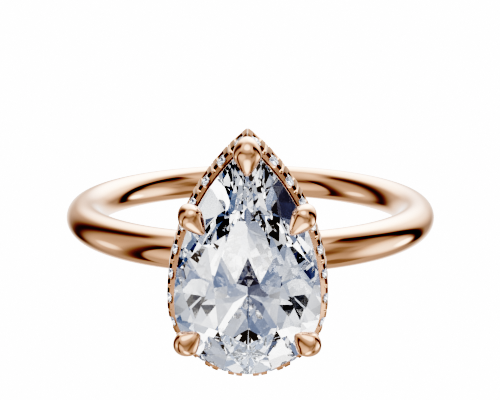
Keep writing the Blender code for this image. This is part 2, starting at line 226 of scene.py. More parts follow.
@dataclass(frozen=True)
class Diamond:
    """Clear diamond with a breath of body colour, and a frosted girdle where the frost attribute is set."""

    name: str = "clear_diamond"
    index: float = 2.417
    clear: tuple = (0.995, 0.998, 1.0, 1.0)
    tinted: tuple = (0.98, 0.99, 1.0, 1.0)
    cloud: float = 1.2 * MM
    girdle_roughness: float = 0.04
    frost: str = "frost"

    def material(self) -> bpy.types.Material:
        """Make the material."""
        material = bpy.data.materials.new(self.name)
        material.use_nodes = True
        wiring = Wiring(material.node_tree)
        place = wiring.node("ShaderNodeTexCoord").outputs["Object"]
        colour = wiring.mix(wiring.noise(place, self.cloud, 1.0), self.clear, self.tinted)
        frost = wiring.node("ShaderNodeAttribute", attribute_name=self.frost).outputs["Fac"]
        shader = wiring.node("ShaderNodeBsdfPrincipled", {
            "Base Color": colour,
            "Roughness": wiring.math("MULTIPLY", frost, self.girdle_roughness),
            "IOR": self.index,
            "Transmission Weight": 1.0,
        })
        wiring.node("ShaderNodeOutputMaterial", {"Surface": shader.outputs[0]})
        return material


@dataclass(frozen=True)
class PaleFloor:
    """Bright white sweep with the faintest paper mottle."""

    name: str = "pale_floor"
    bright: tuple = (1.0, 1.0, 1.0, 1.0)
    mottle: tuple = (0.985, 0.985, 0.985, 1.0)
    fibre: float = 2.0 * MM
    strength: float = 5.2

    def material(self) -> bpy.types.Material:
        """Make the material."""
        material = bpy.data.materials.new(self.name)
        material.use_nodes = True
        wiring = Wiring(material.node_tree)
        place = wiring.node("ShaderNodeTexCoord").outputs["Object"]
        colour = wiring.mix(wiring.noise(place, self.fibre, 3.0), self.bright, self.mottle)
        shader = wiring.node("ShaderNodeEmission", {"Color": colour, "Strength": self.strength})
        wiring.node("ShaderNodeOutputMaterial", {"Surface": shader.outputs[0]})
        return material


# Meshes


def head_to_world(points: np.ndarray) -> np.ndarray:
    """Turn points (x, y, height) of the head into world places (x, -height, y)."""
    return np.stack([points[..., 0], -points[..., 2], points[..., 1]], axis=-1)


def grid_quads(rows: int, columns: int, ring: bool) -> np.ndarray:
    """Quads of a grid whose columns close on themselves.

    Args:
        rows: number of sections along the path.
        columns: number of points round each section.
        ring: whether the last section joins the first.

    Returns:
        Vertex numbers, four for each quad.
    """
    row = np.arange(rows if ring else rows - 1)[:, None]
    column = np.arange(columns)[None, :]
    after_row = (row + 1) % rows
    after_column = (column + 1) % columns
    corners = [
        row * columns + column,
        row * columns + after_column,
        after_row * columns + after_column,
        after_row * columns + column,
    ]
    return np.stack(np.broadcast_arrays(*corners), axis=-1).reshape(-1, 4)


def skin(name: str, sections: np.ndarray, ring: bool) -> bpy.types.Mesh:
    """Skin a row of closed sections, joined end to end as a ring or else closed by a pole at each end.

    Args:
        name: the mesh's name.
        sections: points by section, side and axis.
        ring: whether the last section joins the first.

    Returns:
        A closed mesh that faces out.
    """
    rows, columns = sections.shape[:2]
    points = sections.reshape(-1, 3)
    quads = grid_quads(rows, columns, ring)
    fans = np.zeros((0, 3), dtype=int)
    if not ring:
        side = np.arange(columns)
        after = (side + 1) % columns
        last = (rows - 1) * columns
        near = np.stack([np.full(columns, len(points)), after, side], axis=-1)
        far = np.stack([np.full(columns, len(points) + 1), last + side, last + after], axis=-1)
        fans = np.concatenate([near, far])
        poles = np.stack([sections[0].mean(axis=0), sections[-1].mean(axis=0)])
        points = np.concatenate([points, poles])
    triangles = np.concatenate([quads[:, [0, 1, 2]], quads[:, [0, 2, 3]], fans])
    first, second, third = (points[triangles[:, corner]] for corner in range(3))
    if np.einsum("ij,ij->", first, np.cross(second, third)) < 0:
        quads = quads[:, ::-1]
        fans = fans[:, ::-1]
    mesh = bpy.data.meshes.new(name)
    mesh.vertices.add(len(points))
    mesh.vertices.foreach_set("co", points.astype(np.float32).ravel())
    corners = np.concatenate([quads.ravel(), fans.ravel()])
    sizes = np.concatenate([np.full(len(quads), 4), np.full(len(fans), 3)])
    mesh.loops.add(len(corners))
    mesh.loops.foreach_set("vertex_index", corners.astype(np.int32))
    mesh.polygons.add(len(sizes))
    mesh.polygons.foreach_set("loop_start", (np.cumsum(sizes) - sizes).astype(np.int32))
    mesh.update(calc_edges=True)
    mesh.validate()
    return mesh


def place_piece(
    name: str,
    mesh: bpy.types.Mesh,
    material: bpy.types.Material,
    slot: Slot,
    node: str,
    sharp_angle: float,
) -> bpy.types.Object:
    """Put a finished mesh into the scene in place of a CAD node.

    Args:
        name: the piece's name.
        mesh: its mesh, in world places.
        material: its finish.
        slot: the record's slot that the finish belongs to.
        node: the CAD node that it stands for.
        sharp_angle: the angle between faces above which an edge stays sharp.

    Returns:
        The new object.
    """
    mesh.materials.clear()
    mesh.materials.append(material)
    mesh.shade_smooth()
    mesh.set_sharp_from_angle(angle=sharp_angle)
    piece = bpy.data.objects.new(name, mesh)
    bpy.context.scene.collection.objects.link(piece)
    piece.visible_glossy = slot is Slot.DIAMOND
    piece.visible_transmission = slot is Slot.DIAMOND
    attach(piece, BODY)
    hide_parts(node)
    log.info("%s stands for %s, %d faces", name, node, len(mesh.polygons))
    return piece


def subtract(mesh: bpy.types.Mesh, cutter: bpy.types.Mesh) -> bpy.types.Mesh:
    """Take one closed mesh out of another.

    Args:
        mesh: the body that is cut.
        cutter: the body that is taken away.

    Returns:
        A new mesh.
    """
    collection = bpy.context.scene.collection
    body = bpy.data.objects.new("cut_body", mesh)
    tool = bpy.data.objects.new("cut_tool", cutter)
    collection.objects.link(body)
    collection.objects.link(tool)
    modifier = body.modifiers.new("cut", "BOOLEAN")
    modifier.operation = "DIFFERENCE"
    modifier.solver = "EXACT"
    modifier.object = tool
    bpy.context.view_layer.update()
    evaluated = body.evaluated_get(bpy.context.evaluated_depsgraph_get())
    result = bpy.data.meshes.new_from_object(evaluated)
    bpy.data.objects.remove(body)
    bpy.data.objects.remove(tool)
    result.name = mesh.name
    clean = bmesh.new()
    clean.from_mesh(result)
    bmesh.ops.dissolve_degenerate(clean, dist=SLIVER, edges=clean.edges)
    bmesh.ops.triangulate(clean, faces=clean.faces)
    clean.to_mesh(result)
    clean.free()
    return result


def through(knots: np.ndarray, count: int) -> np.ndarray:
    """Smooth curve through rows of knots, as a cubic between each two whose slopes follow their neighbours.

    Args:
        knots: one row of values for each knot.
        count: number of samples in each stretch.

    Returns:
        Rows of values along the whole curve.
    """
    steps = np.linalg.norm(np.diff(knots[:, :2], axis=0), axis=1)
    time = np.concatenate([[0.0], np.cumsum(np.sqrt(steps))])
    slopes = np.gradient(knots, time, axis=0)
    share = np.linspace(0.0, 1.0, count, endpoint=False)[None, :, None]
    span = np.diff(time)[:, None, None]
    start, end = knots[:-1, None], knots[1:, None]
    leave, arrive = slopes[:-1, None] * span, slopes[1:, None] * span
    curve = (
        start * (2 * share**3 - 3 * share**2 + 1)
        + leave * (share**3 - 2 * share**2 + share)
        + end * (3 * share**2 - 2 * share**3)
        + arrive * (share**3 - share**2)
    )
    return np.concatenate([curve.reshape(-1, knots.shape[1]), knots[-1:]])


# Outlines of stones


@dataclass(frozen=True)
class PearOutline:
    """Pear of one round end and two long arcs that meet at the tip, from the tip down the +x side."""

    width: float = 6.58 * MM
    length: float = 10.44 * MM
    round_end: float = -1.31 * MM

    @property
    def radius(self) -> float:
        """Radius of the round end."""
        return self.width / 2

    @property
    def side_radius(self) -> float:
        """Radius of a long side."""
        reach = self.length - self.radius
        return (reach**2 + self.radius**2) / (2 * self.radius)

    @property
    def side_centre(self) -> float:
        """How far across the stone a long side's centre lies."""
        return self.side_radius - self.radius

    @property
    def culet(self) -> tuple:
        """Place of the stone's lowest point."""
        return (0.0, self.round_end)

    def sweep(self, offset: np.ndarray) -> np.ndarray:
        """Angle of a long side's arc on an offset outline, where its cosine is centre over radius."""
        return np.arccos(self.side_centre / (self.side_radius + offset))

    def side_run(self, offset: np.ndarray) -> np.ndarray:
        """Length of a long side's arc on an offset outline."""
        return self.sweep(offset) * (self.side_radius + offset)

    def whole_run(self, offset: np.ndarray) -> np.ndarray:
        """Length once round an offset outline."""
        return 2 * self.side_run(offset) + math.pi * (self.radius + offset)

    def at_angle(self, angle: np.ndarray, side: np.ndarray, offset: np.ndarray) -> tuple:
        """Points where the outline faces one way.

        A positive angle lies on a long side's arc and a negative one on the round end's, both turned by the
        angle from straight across the stone.

        Args:
            angle: the way that the outline faces, up from across the stone.
            side: 1 on the right half and -1 on the left.
            offset: how far outside the girdle the outline lies.

        Returns:
            Points and outward directions, as x and y.
        """
        on_side = angle > 0
        reach = np.where(on_side, self.side_radius, self.radius) + offset
        centre = np.where(on_side, -self.side_centre, 0.0)
        outward = np.stack([side * np.cos(angle), np.sin(angle) + 0.0 * side], axis=-1)
        across = side * (centre + reach * np.cos(angle))
        along = self.round_end + reach * np.sin(angle)
        return np.stack([across, along], axis=-1), outward

    def angle_at(self, run: np.ndarray, offset: np.ndarray) -> tuple:
        """The way that the outline faces at a run along it, and the half that the run is on."""
        whole = self.whole_run(offset)
        run = np.mod(run, whole)
        side = np.where(run <= whole / 2, 1.0, -1.0)
        half_run = np.where(side > 0, run, whole - run)
        past = self.side_run(offset) - half_run
        angle = np.where(past > 0, past / (self.side_radius + offset), past / (self.radius + offset))
        return angle, side

    def rim(self, share: np.ndarray, offset: float = 0.0) -> tuple:
        """Points and outward directions at shares of the way round an offset outline."""
        angle, side = self.angle_at(share * self.whole_run(offset), offset)
        return self.at_angle(angle, side, offset)


@dataclass(frozen=True)
class RoundOutline:
    """Circle of a small stone's girdle."""

    width: float = 0.68 * MM
    culet: tuple = (0.0, 0.0)

    def rim(self, share: np.ndarray, offset: float = 0.0) -> tuple:
        """Points and outward directions at shares of the way round an offset outline."""
        angle = 2 * math.pi * share
        outward = np.stack([np.cos(angle), np.sin(angle)], axis=-1)
        return outward * (self.width / 2 + offset), outward


# Stones


def lift(points: np.ndarray, height: Union[float, np.ndarray]) -> np.ndarray:
    """Flat points at one height, or each at its own."""
    heights = np.broadcast_to(np.asarray(height)[..., None], points.shape[:-1] + (1,))
    return np.concatenate([points, heights], axis=-1)


def plane_through(first: np.ndarray, second: np.ndarray, third: np.ndarray, inside: np.ndarray) -> np.ndarray:
    """Planes through rows of three points, facing away from a point inside.

    Returns:
        Rows of a unit normal and its distance from the origin.
    """
    normal = np.cross(second - first, third - first)
    normal /= np.linalg.norm(normal, axis=-1, keepdims=True)
    away = np.einsum("ij,ij->i", normal, first - inside)
    normal *= np.sign(away)[:, None]
    return np.concatenate([normal, np.einsum("ij,ij->i", normal, first)[:, None]], axis=-1)


def meet_at_height(first: np.ndarray, second: np.ndarray, height: np.ndarray) -> np.ndarray:
    """Points where two rows of planes cross at given heights."""
    normals = np.stack([first[:, :2], second[:, :2]], axis=1)
    reaches = np.stack([first[:, 3] - first[:, 2] * height, second[:, 3] - second[:, 2] * height], axis=1)
    return lift(np.linalg.solve(normals, reaches[..., None])[..., 0], height)


class Side(Enum):
    """The two sides of a stone's girdle, as the sign of their heights."""

    CROWN = 1
    PAVILION = -1


@dataclass(frozen=True)
class BrilliantCut:
    """Sizes of a brilliant cut, with its table, mains, stars, upper halves and lower halves."""

    inset: float
    crown: float
    girdle: float
    pavilion: float
    star_rise: float
    lower_half: float
    rim_sides: int
    mains: int = 8

    def shares(self, side: Side) -> np.ndarray:
        """Shares of the way round at which the mains, and the halves between them, touch the girdle."""
        return np.arange(2 * self.mains) / (2 * self.mains)

    def targets(self, side: Side, outline: Union[PearOutline, RoundOutline]) -> np.ndarray:
        """Where each main ends: at a corner of the table, or at the culet."""
        if side is Side.CROWN:
            corners, _ = outline.rim(self.shares(side)[::2], -self.inset)
            return lift(corners, self.girdle / 2 + self.crown)
        return np.tile([*outline.culet, -self.girdle / 2 - self.pavilion], (self.mains, 1))

    def crossings(self, side: Side) -> np.ndarray:
        """Heights at which each main crosses the next one."""
        rise = self.crown * self.star_rise if side is Side.CROWN else self.pavilion * self.lower_half
        return np.full(self.mains, side.value * (self.girdle / 2 + rise))

    def planes(self, outline: Union[PearOutline, RoundOutline], grow: float) -> np.ndarray:
        """Facet planes, with the girdle's middle at height 0.

        A main holds the girdle's tangent and its target. A star holds a table edge and the point where
        two mains cross. A half holds such a point and a chord of the girdle.

        Args:
            outline: the girdle's outline.
            grow: how far every facet is moved out.

        Returns:
            Rows of a unit normal and its distance from the origin.
        """
        inside = np.array([*outline.culet, 0.0])
        after = np.roll(np.arange(self.mains), -1)
        found = [np.array([[0.0, 0.0, 1.0, self.girdle / 2 + self.crown]])]
        for side in Side:
            rim, outward = outline.rim(self.shares(side))
            tangent = np.stack([-outward[:, 1], outward[:, 0], np.zeros(len(rim))], axis=-1)[::2]
            tangent[0] = (-1.0, 0.0, 0.0) if outward[0, 1] > 0 else tangent[0]
            edge = lift(rim, side.value * self.girdle / 2)
            target = self.targets(side, outline)
            mains = plane_through(edge[::2], edge[::2] + tangent * self.inset, target, inside)
            point = meet_at_height(mains, mains[after], self.crossings(side))
            found.append(mains)
            found.append(plane_through(point, edge[::2], edge[1::2], inside))
            found.append(plane_through(point, edge[1::2], edge[::2][after], inside))
            if side is Side.CROWN:
                found.append(plane_through(target, target[after], point, inside))
        planes = np.concatenate(found)
        planes[:, 3] += grow
        return planes

    def body(self, outline: Union[PearOutline, RoundOutline], grow: float = 0.0) -> bmesh.types.BMesh:
        """Cut a stone out of a prism of its girdle's outline, one facet plane at a time, in millimetres.

        Args:
            outline: the girdle's outline.
            grow: how far every facet is moved out.

        Returns:
            A closed body with flat facets.
        """
        height = 2 * (self.crown + self.girdle + self.pavilion)
        rim, _ = outline.rim(np.arange(self.rim_sides) / self.rim_sides, grow)
        stone = bmesh.new()
        floor = stone.faces.new([stone.verts.new(point) for point in lift(rim, -height) / MM])
        raised = bmesh.ops.extrude_face_region(stone, geom=[floor])
        tops = [item for item in raised["geom"] if isinstance(item, bmesh.types.BMVert)]
        bmesh.ops.translate(stone, verts=tops, vec=(0.0, 0.0, 2 * height / MM))
        for plane in self.planes(outline, grow):
            normal = Vector(plane[:3])
            cut = bmesh.ops.bisect_plane(
                stone,
                geom=[*stone.verts, *stone.edges, *stone.faces],
                dist=1e-6,
                plane_co=normal * float(plane[3] / MM),
                plane_no=normal,
                clear_outer=True,
            )
            edges = [item for item in cut["geom_cut"] if isinstance(item, bmesh.types.BMEdge)]
            if edges:
                bmesh.ops.contextual_create(stone, geom=edges)
        bmesh.ops.remove_doubles(stone, verts=stone.verts, dist=1e-4)
        bmesh.ops.recalc_face_normals(stone, faces=stone.faces)
        return stone


@dataclass(frozen=True)
class KeelCut(BrilliantCut):
    """Pear brilliant: three mains at the tip end at the upper end of a keel, the others at the culet.

    Warp and skew move the facets along the girdle, by sines of twice and once the way round.
    """

    crown_warp: float = -0.385
    crown_skew: float = -0.013
    pavilion_warp: float = 0.499
    pavilion_skew: float = 0.000
    culet: float = -1.050 * MM
    keel: float = 1.502 * MM
    keel_depth: float = 0.995
    keel_half: float = 0.840

    def shares(self, side: Side) -> np.ndarray:
        """Shares of the way round at which facets touch the girdle: even steps, warped and skewed."""
        crown = side is Side.CROWN
        warp = self.crown_warp if crown else self.pavilion_warp
        skew = self.crown_skew if crown else self.pavilion_skew
        turn = 2 * math.pi * super().shares(side)
        return (turn + warp / 2 * np.sin(2 * turn) + skew * np.sin(turn)) / (2 * math.pi)

    def targets(self, side: Side, outline: PearOutline) -> np.ndarray:
        """Where each main ends: at a corner of the table, at the culet, or at the keel's upper end."""
        found = super().targets(side, outline)
        if side is Side.PAVILION:
            found[:, 1] = self.culet
            found[[0, 1, -1], 1:] = (self.keel, -self.girdle / 2 - self.pavilion * self.keel_depth)
        return found

    def crossings(self, side: Side) -> np.ndarray:
        """Heights at which each main crosses the next one."""
        found = super().crossings(side)
        if side is Side.PAVILION:
            found[[0, -1]] = -self.girdle / 2 - self.pavilion * self.keel_depth * self.keel_half
        return found


def stone_mesh(
    name: str, body: bmesh.types.BMesh, turn: np.ndarray, origin: np.ndarray, frost: str
) -> bpy.types.Mesh:
    """Make the mesh of a cut stone at its place, and mark its girdle as frosted.

    Args:
        name: the mesh's name.
        body: the stone, in millimetres, with its table up.
        turn: the stone's axes as columns.
        origin: the place of its girdle's middle.
        frost: name of the attribute that is 1 on the girdle.

    Returns:
        The new mesh.
    """
    mesh = bpy.data.meshes.new(name)
    body.to_mesh(mesh)
    normals = np.zeros(len(mesh.polygons) * 3, dtype=np.float32)
    mesh.polygons.foreach_get("normal", normals)
    girdle = (np.abs(normals.reshape(-1, 3)[:, 2]) < 0.05).astype(np.float32)
    mesh.attributes.new(frost, "FLOAT", "FACE").data.foreach_set("value", girdle)
    points = np.zeros(len(mesh.vertices) * 3, dtype=np.float32)
    mesh.vertices.foreach_get("co", points)
    placed = points.reshape(-1, 3).astype(float) * MM @ turn.T + origin
    mesh.vertices.foreach_set("co", head_to_world(placed).astype(np.float32).ravel())
    mesh.update()
    return mesh


@dataclass
class CentreStone:
    """The pear brilliant."""

    outline: PearOutline
    girdle_height: float
    cut: KeelCut = KeelCut(
        inset=1.681 * MM,
        crown=0.807 * MM,
        girdle=0.200 * MM,
        pavilion=2.676 * MM,
        star_rise=0.664,
        lower_half=0.587,
        rim_sides=128,
    )
    facet_edge: float = math.radians(0.5)

    @property
    def girdle_top(self) -> float:
        """Height of the girdle's upper edge."""
        return self.girdle_height + self.cut.girdle / 2

    @property
    def crown_slope(self) -> float:
        """Rise of the crown over its run."""
        return self.cut.crown / self.cut.inset

    def solid(self, name: str, grow: float, frost: str) -> bpy.types.Mesh:
        """The stone's mesh, with every facet moved out."""
        body = self.cut.body(self.outline, grow)
        mesh = stone_mesh(name, body, np.eye(3), np.array([0.0, 0.0, self.girdle_height]), frost)
        body.free()
        return mesh

    def build(self, finish: Diamond, material: bpy.types.Material) -> None:
        """Cut the stone and place it."""
        mesh = self.solid("pear_brilliant", 0.0, finish.frost)
        place_piece("pear_brilliant", mesh, material, Slot.DIAMOND, "centre_stone", self.facet_edge)


@dataclass
class HaloStones:
    """The small round brilliants, evenly spaced round the pear with none at its tip."""

    outline: PearOutline
    girdle_height: float
    count: int = 25
    offset: float = 0.26 * MM
    drop: float = 0.86 * MM
    tip_shift: float = 0.12 * MM
    lean: float = math.radians(14.0)
    stone: RoundOutline = RoundOutline()
    cut: BrilliantCut = BrilliantCut(
        inset=0.15 * MM,
        crown=0.10 * MM,
        girdle=0.03 * MM,
        pavilion=0.27 * MM,
        star_rise=0.60,
        lower_half=0.76,
        rim_sides=32,
    )
    facet_edge: float = math.radians(0.5)

    @property
    def whole(self) -> float:
        """Run once round the rail at the stones' offset."""
        return float(self.outline.whole_run(self.offset))

    def runs(self) -> np.ndarray:
        """Runs of the stones: even steps from the first, near the tip, to the round end, and back."""
        first = self.whole / self.count / 2 - self.tip_shift
        right = np.linspace(first, self.whole / 2, self.count // 2 + 1)
        return np.concatenate([right, self.whole - right[-2::-1]])

    def build(self, finish: Diamond, material: bpy.types.Material) -> None:
        """Cut one stone, and place it in its frame at every run: along the rail, to the front and out."""
        body = self.cut.body(self.stone)
        points, outward = self.outline.rim(self.runs() / self.whole, self.offset)
        flat = np.zeros(self.count)
        along = np.stack([-outward[:, 1], outward[:, 0], flat], axis=-1)
        out = np.concatenate([outward * math.cos(self.lean), flat[:, None] + math.sin(self.lean)], axis=-1)
        front = np.cross(out, along)
        origins = lift(points, self.girdle_height - self.drop)
        for number in range(self.count):
            name = f"halo_brilliant_{number + 1:02d}"
            turn = np.stack([along[number], front[number], out[number]], axis=-1)
            mesh = stone_mesh(name, body, turn, origins[number], finish.frost)
            node = f"melee_{number + 1:02d}"
            place_piece(name, mesh, material, Slot.DIAMOND, node, self.facet_edge)
        body.free()


# Metal


@dataclass
class Band:
    """Round wire bent into a hoop about the finger axis."""

    bore: float = 16.5 * MM
    wire: float = 1.95 * MM
    steps: int = 720
    sides: int = 96
    sharp_angle: float = math.radians(60.0)

    @property
    def radius(self) -> float:
        """Radius of the hoop's centre line."""
        return (self.bore + self.wire) / 2

    @property
    def top(self) -> float:
        """Height of the wire's outer side over the finger axis."""
        return self.bore / 2 + self.wire

    def build(self, material: bpy.types.Material) -> None:
        """Carry a circle round a circle: reach = radius + wire/2 cos(side), rise = wire/2 sin(side)."""
        around = 2 * math.pi * np.arange(self.steps)[:, None] / self.steps
        side = 2 * math.pi * np.arange(self.sides)[None, :] / self.sides
        reach = self.radius + self.wire / 2 * np.cos(side)
        rise = np.broadcast_to(self.wire / 2 * np.sin(side), (self.steps, self.sides))
        sections = np.stack([reach * np.cos(around), reach * np.sin(around), rise], axis=-1)
        mesh = skin("polished_band", sections, ring=True)
        place_piece("polished_band", mesh, material, Slot.ROSE_GOLD, "shank", self.sharp_angle)


@dataclass
class GalleryRail:
    """Pear-shaped wire loop at the foot of the claws."""

    outline: PearOutline
    height: float
    wire: float = 0.80 * MM
    inset: float = 1.35 * MM
    steps: int = 480
    sides: int = 32
    sharp_angle: float = math.radians(60.0)

    def build(self, material: bpy.types.Material) -> None:
        """Carry the wire's circle, by the cosine and sine of its side, round the inset pear."""
        share = (np.arange(self.steps)[:, None] + 0.5) / self.steps
        side = 2 * math.pi * np.arange(self.sides)[None, :] / self.sides
        offset = -self.inset + self.wire / 2 * np.cos(side)
        run = share * self.outline.whole_run(offset)
        angle, half = self.outline.angle_at(run, offset)
        points, _ = self.outline.at_angle(angle, half, offset)
        rise = np.broadcast_to(self.height + self.wire / 2 * np.sin(side), share.shape[:1] + side.shape[1:])
        sections = head_to_world(np.concatenate([points, rise[..., None]], axis=-1))
        mesh = skin("gallery_loop", sections, ring=True)
        place_piece("gallery_loop", mesh, material, Slot.ROSE_GOLD, "gallery_rail", self.sharp_angle)


@dataclass
class Feet:
    """Two waisted saddles between the band and the gallery rail."""

    outline: PearOutline
    band: Band
    gallery: GalleryRail
    width: float = 1.00 * MM
    length: float = 1.40 * MM
    waist: float = 0.16
    squareness: float = 3.0
    sink: float = 0.10 * MM
    steps: int = 40
    sides: int = 64
    sharp_angle: float = math.radians(50.0)

    def build(self, material: bpy.types.Material) -> None:
        """Carry a rounded rectangle up from the band to the gallery rail.

        Its half sizes shrink by a cosine bump at the waist. Its lower end follows the band's outer side at
        each point, height = sqrt((radius + sqrt(r^2 - y^2))^2 - x^2), less the sink.
        """
        inset_radius = self.outline.side_radius - self.gallery.inset
        reach = math.sqrt(inset_radius**2 - self.outline.round_end**2) - self.outline.side_centre
        top = self.gallery.height - self.gallery.wire / 2 + self.sink
        side = 2 * math.pi * np.arange(self.sides)[None, :] / self.sides
        share = np.linspace(0.0, 1.0, self.steps)[:, None]
        power = 2.0 / self.squareness
        slim = 1.0 - self.waist * np.sin(math.pi * share) ** 2
        across = slim * self.width / 2 * np.sign(np.cos(side)) * np.abs(np.cos(side)) ** power
        along = slim * self.length / 2 * np.sign(np.sin(side)) * np.abs(np.sin(side)) ** power
        for hand, way in (("left", -1.0), ("right", 1.0)):
            place = way * reach + across
            wire_reach = self.band.radius + np.sqrt((self.band.wire / 2) ** 2 - along**2)
            base = np.sqrt(wire_reach**2 - place**2) - self.sink
            height = base + (top - base) * share
            sections = head_to_world(np.stack([place, along, height], axis=-1))
            mesh = skin(f"{hand}_saddle", sections, ring=False)
            place_piece(f"{hand}_saddle", mesh, material, Slot.ROSE_GOLD, f"{hand}_foot", self.sharp_angle)


@dataclass
class HaloRail:
    """Tapered rail under the girdle, with a scoop over each small stone and a slot between each two.

    Its section is a closed outline of offsets from the girdle and drops below it. Run means length along the
    rail at the stones' offset, and march means length along the section from the rim.
    """

    outline: PearOutline
    stones: HaloStones
    girdle_height: float
    rim: tuple = (0.03 * MM, 0.15 * MM)
    corner: tuple = (0.25 * MM, 0.42 * MM)
    ledge: tuple = (0.36 * MM, 0.48 * MM)
    back: tuple = (0.46 * MM, 1.81 * MM)
    back_inside: tuple = (-0.20 * MM, 1.81 * MM)
    middle_inside: tuple = (-0.21 * MM, 0.90 * MM)
    front_inside: tuple = (-0.08 * MM, 0.26 * MM)
    edge_round: float = 0.022 * MM
    tip_blend: float = 0.40 * MM
    scoop_width: float = 0.48 * MM
    scoop_start: float = 0.06 * MM
    slot_width: float = 0.20 * MM
    slot_start: float = 0.23 * MM
    slot_floor: tuple = (0.13 * MM, 0.40 * MM)
    seat_width: float = 0.74 * MM
    lip: float = 0.020 * MM
    arc_rows: int = 12
    post_columns: int = 5
    keep: float = 0.02
    tip_slot: float = 0.0
    # tip_shade and end_shade scale the painted shade down, lighter near the tip and at the round end
    tip_shade: float = 0.25
    end_slot: float = 0.4
    end_run: tuple = (7.0 * MM, 9.5 * MM)
    tip_draw: float = 0.10 * MM
    tip_rise: float = 0.60
    bright_tip: float = 0.55 * MM
    # painted shadow line along the stone's edge: its width across the rim face, and how far from the tip it
    # runs
    shadow_line_width: float = 0.06 * MM
    shadow_line_run: float = 4.2 * MM
    end_shade: float = 0.40
    lip_satin: float = 0.6
    slot_shares: tuple = (0.15, 0.40, 1.0, 0.03)
    scoop_shares: tuple = (0.03, 0.08, 0.30, 0.80, 1.0)
    # painted shade, 0 for plain gold to 1 for the dark brown: slot and scoop shades by column of a cut, wall
    # shades at the section's corners; it stands in for the shade in the cuts, on the ledge and on the outer
    # wall
    slot_shades: tuple = (0.0, 0.0, 0.7, 1.0)
    scoop_shades: tuple = (0.9, 0.9, 0.5, 0.1, 0.1)
    wall_shades: tuple = (0.0, 0.0, 0.90, 1.0, 0.80, 0.15, 0.0)
    sharp_angle: float = math.radians(38.0)

    def section(self) -> np.ndarray:
        """Corners of the section, from the rim round the outside."""
        return np.array([
            self.rim,
            self.corner,
            self.ledge,
            self.back,
            self.back_inside,
            self.middle_inside,
            self.front_inside,
        ])

    def marches(self) -> np.ndarray:
        """March to each corner of the section, ending where it closes."""
        corners = self.section()
        closed = np.concatenate([corners, corners[:1]])
        return np.concatenate([[0.0], np.cumsum(np.linalg.norm(np.diff(closed, axis=0), axis=1))])

    def surface(self, march: np.ndarray) -> np.ndarray:
        """Offset and drop at a march along the section, with each corner rounded by a short average."""
        corners = self.section()
        closed = np.concatenate([corners, corners[:1]])
        marches = self.marches()
        window = np.linspace(-self.edge_round, self.edge_round, 9)
        spots = np.mod(march[:, None] + window[None, :], marches[-1])
        return np.stack([np.interp(spots, marches, closed[:, axis]).mean(axis=1) for axis in (0, 1)], axis=-1)

    def rows(self) -> np.ndarray:
        """Marches of the grid's rows, close together at corners and at the round ends of scoops and slots."""
        marches = self.marches()
        total = marches[-1]
        turn = np.linspace(0.0, math.pi / 2, self.arc_rows)
        scoop = self.scoop_start + self.scoop_width / 2 * (1 - np.cos(turn))
        slot = self.slot_start + self.slot_width / 2 * (1 - np.cos(turn))
        before = np.array([self.scoop_start, self.slot_start]) - self.lip / 4
        corners = (marches[:-1, None] + self.edge_round * np.linspace(-1.0, 1.0, 5)[None, :]).ravel()
        even = np.arange(0.0, total, 0.09 * MM)
        found = np.sort(np.mod(np.concatenate([scoop, slot, before, corners, even]), total))
        apart = np.diff(found, prepend=found[-1] - total) > 0.003 * MM
        return found[apart]

    def half_width(self, march: np.ndarray, start: float, width: float) -> np.ndarray:
        """Half width of a round-ended cut that begins at a march, by Pythagoras on its end's circle."""
        radius = width / 2
        short = np.clip(start + radius - march, 0.0, radius)
        return np.where(march < start, 0.0, np.sqrt(radius**2 - short**2))

    def scoop_floor(self, drop: np.ndarray) -> np.ndarray:
        """Offset of a scoop's floor at a drop: a hollow under the stone that runs out towards the back."""
        low = self.stones.drop + 0.13 * MM
        knots = np.array([0.17 * MM, 0.30 * MM, 0.46 * MM, 0.60 * MM, low, low + 0.30 * MM, 1.75 * MM])
        offsets = np.array([0.0 * MM, 0.09 * MM, 0.17 * MM, 0.02 * MM, -0.10 * MM, 0.06 * MM, 0.44 * MM])
        window = np.linspace(-0.03 * MM, 0.03 * MM, 7)
        return np.interp(drop[:, None] + window, knots, offsets).mean(axis=1)

    def base_shade(self, march: np.ndarray) -> np.ndarray:
        """Painted shade on the uncut section: none on the rim face, black at the corner and ledge, brown on
        the outer wall fading out at the back.
        """
        marches = self.marches()
        _, corner, ledge, back, *_ = marches
        knots = (0.0, corner - 0.03 * MM, corner, ledge, ledge + 0.30 * MM, back - 0.10 * MM, back)
        return np.interp(march, knots, self.wall_shades)

    def half_cell(
        self, march: np.ndarray, slot: np.ndarray, scoop: np.ndarray, half: np.ndarray
    ) -> np.ndarray:
        """Runs of the columns from the middle of a slot to just before the middle of a scoop.

        Args:
            march: marches of the rows.
            slot: half widths of the slot, by row and cell.
            scoop: half widths of the scoop by row.
            half: run from slot to scoop, by cell.

        Returns:
            Runs by row, cell and column.
        """
        off_centre = (self.surface(march)[:, 1] - self.stones.drop) / math.cos(self.stones.lean)
        seat = np.sqrt(np.maximum((self.seat_width / 2) ** 2 - off_centre**2, 0.0))
        mouth = np.maximum(scoop, self.lip)
        seat = np.where(scoop > 0, np.maximum(mouth, seat), 0.9 * mouth)[:, None, None]
        mouth = mouth[:, None, None]
        slot = slot[:, :, None]
        half = half[None, :, None]
        posts = np.linspace(0.0, 1.0, self.post_columns)
        post_from = slot + self.lip
        post_to = half - mouth - self.lip
        near_slot = slot * np.array([0.0, 0.6, 1.0, 1.0]) + self.lip * np.array([0.0, 0.0, 0.0, 0.3])
        near_scoop = (
            mouth * np.array([1.0, 1.0, 0.0, 0.0, 0.0])
            + seat * np.array([0.0, 0.0, 1.0, 0.85, 0.45])
            + self.lip * np.array([0.3, 0.0, 0.0, 0.0, 0.0])
        )
        post = post_from + (post_to - post_from) * posts
        return np.concatenate([near_slot, post, half - near_scoop], axis=-1)

